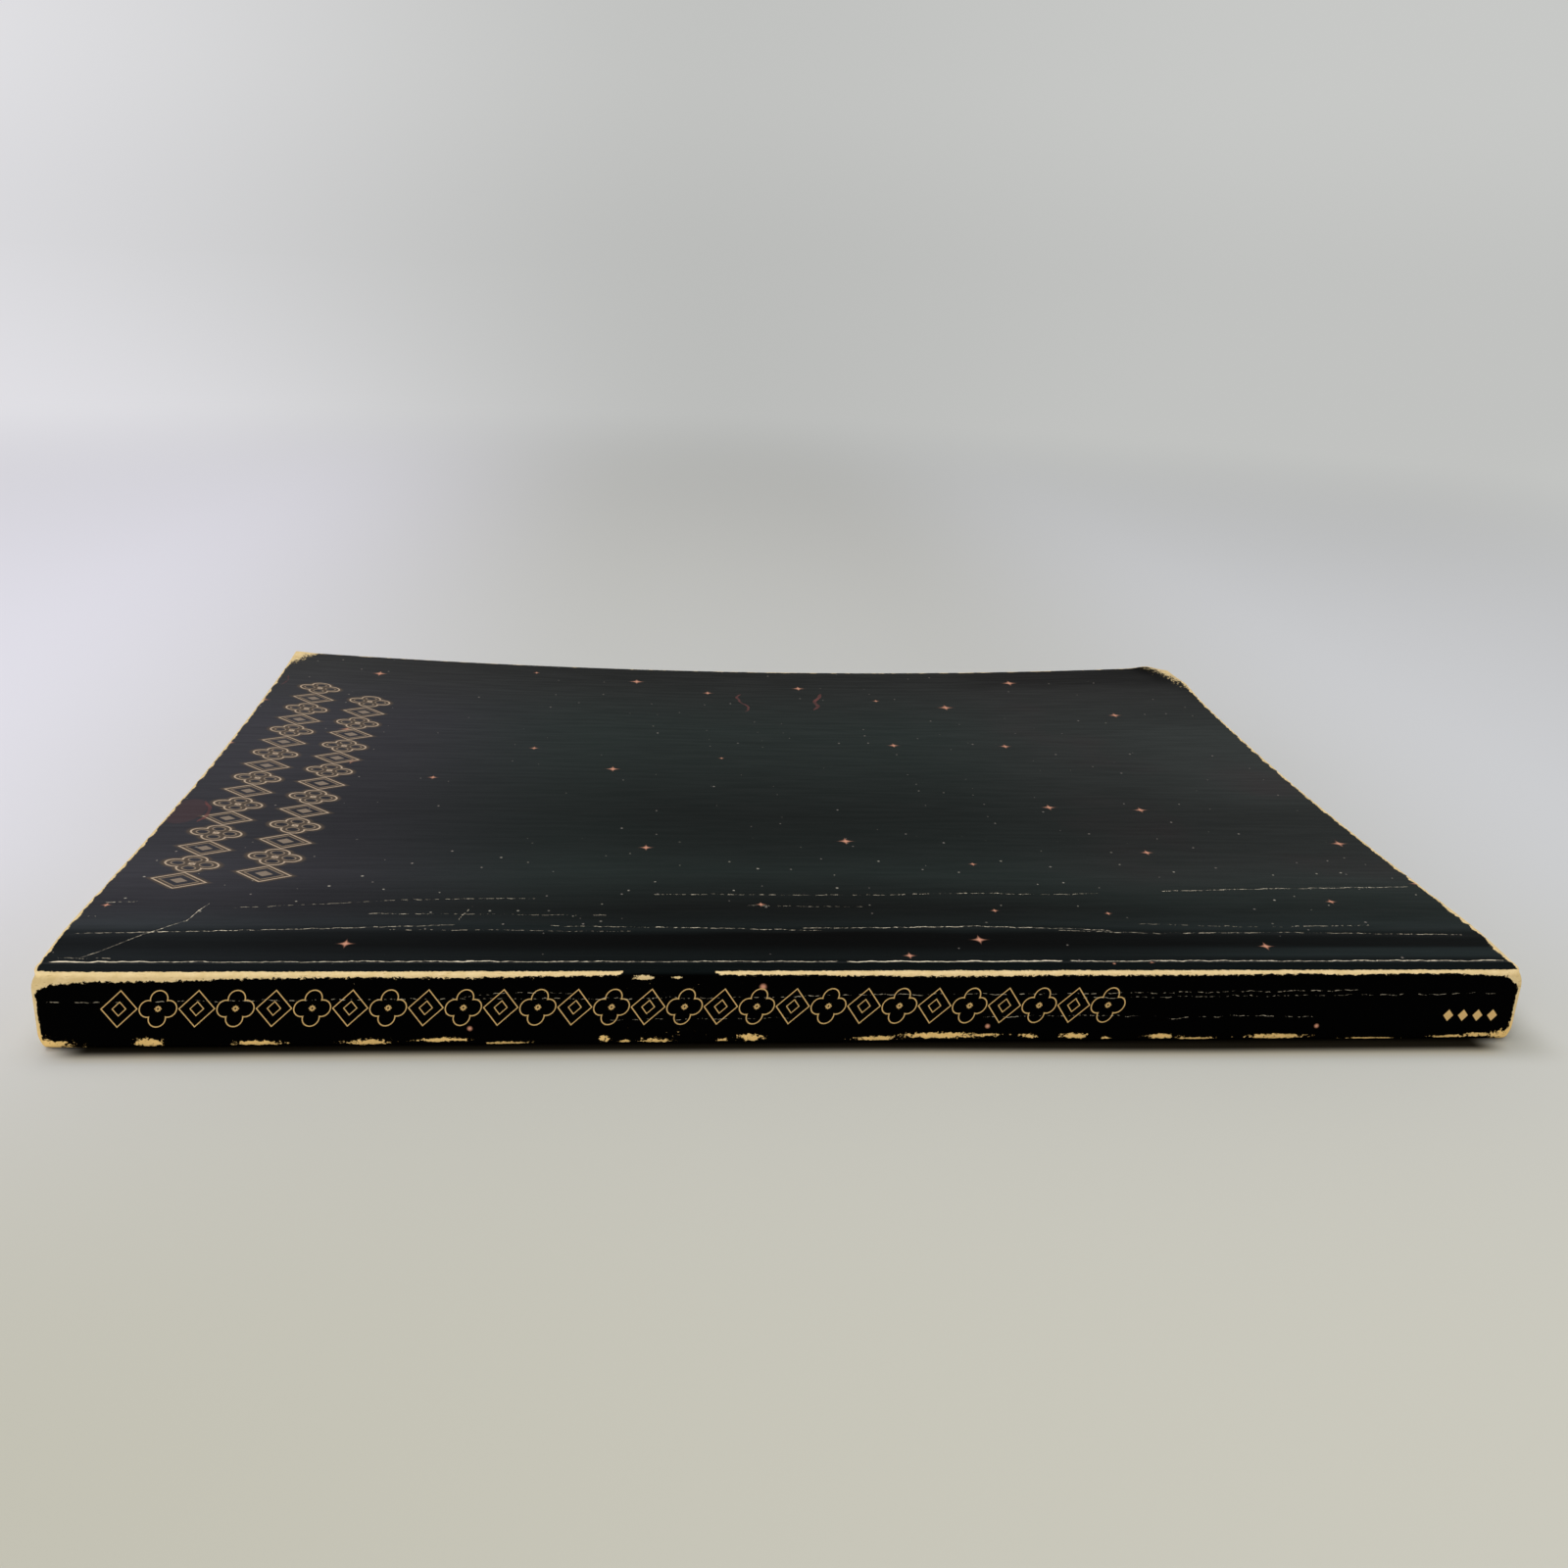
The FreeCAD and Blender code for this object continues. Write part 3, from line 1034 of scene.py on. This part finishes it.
# %% Curl the front card
TAIL_RIM = [(0, 0.55), (30, 0.65), (60, 0.85), (229, 0.85)]
front_card = pull_panel("front_card", thickness)
points = points_of(front_card)
x, y, rim = trim_outline(points[:, 0], points[:, 1], 11)
from_spine = y - spine_face
u, v = x + half_length, from_spine
rim = rim * np.where(x > 0, np.interp(v / MM, *zip(*TAIL_RIM)), 1)
crease = np.interp(u / MM, *zip(*MAIN_CREASE)) * MM
lift = swell(from_spine, crease) + curl(x, from_spine)
lift = lift + hollow(from_spine - crease, 0.08 * MM, 0.9 * MM)
lift = lift + hollow(from_spine - hinge_inset, 0.06 * MM, 0.5 * MM)
place_points(front_card, np.column_stack([x, y, thickness + lift]))
mark(front_card, u, v, rim)
thicken(front_card, "front")
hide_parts("front_cover")
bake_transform(front_card)
report(front_card)

# %% Pull out the back card
back_card = pull_panel("back_card", 0)
bpy.ops.object.mode_set(mode="EDIT")
bpy.ops.mesh.select_all(action="SELECT")
bpy.ops.mesh.flip_normals()
bpy.ops.object.mode_set(mode="OBJECT")
points = points_of(back_card)
x, y, rim = trim_outline(points[:, 0], points[:, 1], 31)
u, v = x + half_length, -thickness - (y - spine_face)
place_points(back_card, np.column_stack([x, y, np.zeros(len(x))]))
mark(back_card, u, v, rim)
thicken(back_card, "back")
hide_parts("back_cover")
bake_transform(back_card)
report(back_card)

# %% [markdown]
# ## Leaves
# A hundred and thirty-four leaves are one solid, but their edges show. One leaf's edge is made as a
# thin band round the block's outline with a tiny ledge above it, an Array modifier stacks the bands,
# and two grids close the stack. Then each band is set in or out by a hair, and the upper leaves follow
# the curl of the cover.

# %% Stack the leaves
LEAVES = 134
LEAF_COLUMNS = 84
LEAF_ROWS = 64
block_low, block_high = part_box("page_block")
block_top = thickness - card - side_glue
stack = block_top - block_low.z
leaf = stack / LEAVES
LEAF_FOLLOW = 0.8
LEAF_CORNER = 1.0 * MM


def block_grid(name, height):
    """A grid over the block's outline, for the leaf at that height."""
    return add_grid(
        name, LEAF_COLUMNS, LEAF_ROWS, (block_low.x, block_low.y), (block_high.x, block_high.y), height
    )


def at_border(co):
    """True on the outline of the block."""
    at_end = min(co.x - block_low.x, block_high.x - co.x) < tiny
    return at_end or min(co.y - block_low.y, block_high.y - co.y) < tiny


leaves = block_grid("leaves", block_low.z)
bpy.ops.object.mode_set(mode="EDIT")
bpy.ops.mesh.select_all(action="SELECT")
bpy.ops.mesh.delete(type="ONLY_FACE")
select_edges(leaves, at_border)
bpy.ops.mesh.select_all(action="INVERT")
bpy.ops.mesh.delete(type="EDGE")
bpy.ops.mesh.select_all(action="SELECT")
bpy.ops.mesh.delete_loose(use_verts=True, use_edges=False, use_faces=False)
bpy.ops.mesh.select_all(action="SELECT")
pull_edges((0, 0, leaf * 0.9), 1)
pull_edges((0, 0, leaf * 0.1), 1)
bpy.ops.object.mode_set(mode="OBJECT")
bpy.ops.object.modifier_add(type="ARRAY")
rows = leaves.modifiers[-1]
rows.count = LEAVES
rows.use_relative_offset = False
rows.use_constant_offset = True
rows.constant_offset_displace = (0, 0, leaf)
rows.use_merge_vertices = True
rows.merge_threshold = leaf * 0.03
bpy.ops.object.modifier_apply(modifier=rows.name)
report(leaves)

bottom = block_grid("leaves_bottom", block_low.z)
top = block_grid("leaves_top", block_top)
deselect_all()
for piece in (bottom, top, leaves):
    piece.select_set(True)
bpy.context.view_layer.objects.active = leaves
bpy.ops.object.join()
bpy.ops.object.mode_set(mode="EDIT")
bpy.ops.mesh.select_all(action="SELECT")
bpy.ops.mesh.remove_doubles(threshold=leaf * 0.03)
bpy.ops.mesh.normals_make_consistent(inside=False)
bpy.ops.object.mode_set(mode="OBJECT")
report(leaves)


# %% Shuffle the leaves
SHUFFLE_REACH = 2 * MM
points = points_of(leaves)
level = (points[:, 2] - block_low.z) / leaf
number = np.floor(level + 0.05)
gap = (level - number > 0.5).astype(float)
number = np.clip(number, 0, LEAVES - 1).astype(int)
draw = np.random.RandomState(5)
set_in = draw.uniform(0, 0.12, LEAVES) * MM + np.clip(draw.normal(0, 0.1, LEAVES), 0, 0.3) * MM
drift = 0.12 * MM * (1 + wander(np.arange(LEAVES) * MM, 9 * MM, 6))
x, y = round_corners(points[:, 0], points[:, 1], block_high.x, block_high.y, LEAF_CORNER)
inward = np.clip(np.minimum(block_high.x - abs(x), block_high.y - y), 0, None)
edge_x = closeness(block_high.x - abs(x), SHUFFLE_REACH)
edge_y = closeness(block_high.y - y, SHUFFLE_REACH)
inset = set_in[number] + drift[number]
x = x - np.sign(x) * inset * edge_x
y = y - inset * edge_y
share = np.clip((points[:, 2] - block_low.z) / stack, 0, 1)
follow = LEAF_FOLLOW * share**4 * (swell(y - spine_face) + curl(x, y - spine_face))
place_points(leaves, np.column_stack([crush(x, y, points[:, 2]), y, points[:, 2] + follow]))
store(leaves, "gap", gap)
store(leaves, "number", number)
store(leaves, "inward", inward / MM)
leaves.data.materials.clear()
leaves.data.materials.append(finishes["leaf"])
leaves.data.uv_layers.remove(leaves.data.uv_layers[0])
deselect_all()
leaves.select_set(True)
bpy.context.view_layer.objects.active = leaves
bpy.ops.object.shade_smooth_by_angle(angle=math.radians(30))
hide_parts("page_block")
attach(leaves, "bound_pages")
report(leaves)

# %% [markdown]
# ## Glue
# Hot glue holds the leaves in the card, and it can be seen only when a cover is open, as a film between
# the leaves and the folded card. It is folded as the card was, one card's thickness further in.

# %% Fold the glue film
GLUE_FILM = 0.5 * MM
GLUE_SETBACK = 0.5 * MM
glue = fold_sheet("glue_film", block_high.x, card, strip_end - GLUE_SETBACK, 60, 6)
points = points_of(glue)
x, y, z = points.T
place_points(glue, np.column_stack([crush(x, y, z), y, z]))
glue.data.materials.append(finishes["glue"])
bpy.ops.object.modifier_add(type="SOLIDIFY")
film = glue.modifiers[-1]
film.thickness = GLUE_FILM
film.offset = -1
bpy.ops.object.modifier_apply(modifier=film.name)
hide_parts("binding_glue")
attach(glue, "bound_pages")
report(glue)

# %% [markdown]
# ## Floor, light and camera
# The floor is pale and fades into the same pale grey as the surroundings, so there is no horizon.
# Painted light makes the cloth lighter to the left and right, and a painted shadow lies along the
# spine's foot. The floor lies a hair below the book, because an opened back cover turns past the book's
# underside. One large lamp overhead and a smaller one from the left give soft light with a short
# shadow.

# %% Floor
FLOOR_RADIUS = 40.0
FLOOR_DROP = 0.6 * MM
deselect_all()
bpy.ops.mesh.primitive_circle_add(
    vertices=96, radius=FLOOR_RADIUS, fill_type="NGON", location=(0, 0, -FLOOR_DROP)
)
bpy.ops.object.transform_apply(location=True)
floor = bpy.context.object
floor.name = "floor"
print("floor", FLOOR_RADIUS, "m round")

# %% Surroundings
BACKDROP = (0.515, 0.521, 0.509)
BACKDROP_LEFT = (0.515, 0.51, 0.535)
BACKDROP_NEAR = (0.53, 0.51, 0.45)


def heading(x, y):
    """Which way a place lies from the origin: how far to the right, and how far ahead."""
    flat = (x * x + y * y + 0.0001) ** 0.5
    return x / flat, y / flat


def backdrop_level(side, height):
    """How bright the surroundings are: brighter at the sides, above all the left, dim overhead."""
    left = (side * -1.0).rise(-0.05, 0.55) * 0.5 + (side * -1.0).rise(0.5, 0.95) * 0.2
    right = side.rise(0.05, 0.4) * 0.07 + side.rise(0.6, 1.0) * 0.35
    upwards = (0.97 + height.rise(0.0, 0.12) * 0.07) * (1 - height.rise(0.24, 0.62) * 0.8)
    return (left + right + 1.0) * upwards


def backdrop_tint(side, ahead):
    """Neutral, a little bluer to the left and warmer towards the viewer."""
    tint = mix((side * -1.0).rise(-0.05, 0.55), BACKDROP, BACKDROP_LEFT)
    return mix(ahead.fall(-0.9, 0.1), tint, BACKDROP_NEAR)


# %% Floor finish
CLOTH = (0.575, 0.577, 0.56)
CLOTH_LIT_LEFT = (0.79, 0.78, 0.86)
CLOTH_LIT_RIGHT = (0.685, 0.695, 0.72)
CLOTH_NEAR_LEFT = (0.505, 0.493, 0.415)
CLOTH_NEAR_RIGHT = (0.64, 0.63, 0.56)
SHADE_PAST_TAIL = (0.30, 0.29, 0.21)
SHADE_RIM = (0.44, 0.37, 0.24)
SHADE_CORE = (0.008, 0.006, 0.003)


def floor_finish():
    """Pale cloth with painted light and a painted shadow under the spine, which fades into the
    surroundings.
    """
    material, tree, shader = new_material("floor")
    start = object_place(tree)
    away = start.node("ShaderNodeVectorMath", {"operation": "LENGTH"}, {0: start}, output="Value")
    x, y = parts_of(start)
    # Painted light: lighter and bluer to the left, lighter to the right. Towards the viewer the cloth
    # is darker and warmer.
    cloth = mix((x * -1.0).rise(0.04, 0.3), CLOTH, CLOTH_LIT_LEFT)
    cloth = mix(x.rise(0.08, 0.28), cloth, CLOTH_LIT_RIGHT)
    near_cloth = mix(x.rise(-0.25, 0.25), CLOTH_NEAR_LEFT, CLOTH_NEAR_RIGHT)
    cloth = mix(y.fall(-0.25, 0.0), cloth, near_cloth)
    # Painted shadow along the spine's foot: a deep core, a softer rim, and a faint reach past the tail.
    from_spine = abs(y - spine_face - 10 * MM) - 10 * MM - x.rise(0, 0.09) * 1.3 * MM
    beside = abs(x).fall(half_length - 9 * MM, half_length - 1 * MM)
    past_tail = x.fall(half_length, half_length + 14 * MM) * x.rise(0, half_length)
    cloth = mix(from_spine.fall(0, 9 * MM) * past_tail * 0.3, cloth, SHADE_PAST_TAIL)
    cloth = mix(from_spine.fall(1.5 * MM, 6 * MM) * beside * 0.6, cloth, SHADE_RIM)
    cloth = mix(from_spine.fall(0, 3.5 * MM) * beside * 0.985, cloth, SHADE_CORE)
    tree.links.new(cloth.socket, shader.inputs["Base Color"])
    shader.inputs["Roughness"].default_value = 0.9
    shader.inputs["Specular IOR Level"].default_value = 0.0
    side, ahead = heading(x, y)
    light = {"Color": backdrop_tint(side, ahead), "Strength": backdrop_level(side, x * 0.0)}
    haze = start.node("ShaderNodeEmission", {}, light)
    plain = Wire(tree, shader.outputs[0])
    blend = start.node("ShaderNodeMixShader", {}, {0: away.rise(0.3, 1.3), 1: plain, 2: haze})
    tree.links.new(blend.socket, tree.nodes["Material Output"].inputs["Surface"])
    return material


floor.data.materials.append(floor_finish())

# %% Light
world = bpy.data.worlds.new("studio")
world.use_nodes = True
sky = Wire(world.node_tree, world.node_tree.nodes.new("ShaderNodeTexCoord").outputs["Generated"])
x, y = parts_of(sky)
side, ahead = heading(x, y)
background = world.node_tree.nodes["Background"]
world.node_tree.links.new(backdrop_tint(side, ahead).socket, background.inputs["Color"])
world.node_tree.links.new(backdrop_level(side, x.other(2)).socket, background.inputs["Strength"])
bpy.context.scene.world = world


def add_lamp(name, size, power, place, target):
    """A square soft lamp that looks at a point."""
    data = bpy.data.lights.new(name, "AREA")
    data.size = size
    data.energy = power
    lamp = bpy.data.objects.new(name, data)
    lamp.location = place
    lamp.rotation_euler = (Vector(target) - Vector(place)).to_track_quat("-Z", "Y").to_euler()
    bpy.context.scene.collection.objects.link(lamp)
    return lamp


add_lamp("overhead", 1.2, 14.0, (-0.2, 0.1, 1.5), (0, 0, 0))
add_lamp("front", 0.9, 10.0, (-0.5, -1.2, 1.0), (0, 0, 0))

# %% Camera
CAMERA_PLACE = Vector((-35.3, -376.7, 150.0)) * MM
CAMERA_YAW = math.radians(5.94)
CAMERA_PITCH = math.radians(19.43)
CAMERA_ROLL = math.radians(2.61)
CAMERA_LENS = 33.3
level_forward = Vector((math.sin(CAMERA_YAW), math.cos(CAMERA_YAW), 0))
level_right = Vector((math.cos(CAMERA_YAW), -math.sin(CAMERA_YAW), 0))
up = Vector((0, 0, 1))
forward = math.cos(CAMERA_PITCH) * level_forward - math.sin(CAMERA_PITCH) * up
head_up = math.sin(CAMERA_PITCH) * level_forward + math.cos(CAMERA_PITCH) * up
right = math.cos(CAMERA_ROLL) * level_right + math.sin(CAMERA_ROLL) * head_up
above = -math.sin(CAMERA_ROLL) * level_right + math.cos(CAMERA_ROLL) * head_up
camera_data = bpy.data.cameras.new("camera")
camera_data.lens = CAMERA_LENS
camera_data.sensor_width = 36
camera_data.clip_start = 0.01
camera = bpy.data.objects.new("camera", camera_data)
turn = Matrix((right, above, -forward)).transposed().to_4x4()
camera.matrix_world = Matrix.Translation(CAMERA_PLACE) @ turn
bpy.context.scene.collection.objects.link(camera)
bpy.context.scene.camera = camera
bpy.context.scene.view_settings.view_transform = "Standard"
print("camera at", CAMERA_PLACE / MM, "mm")
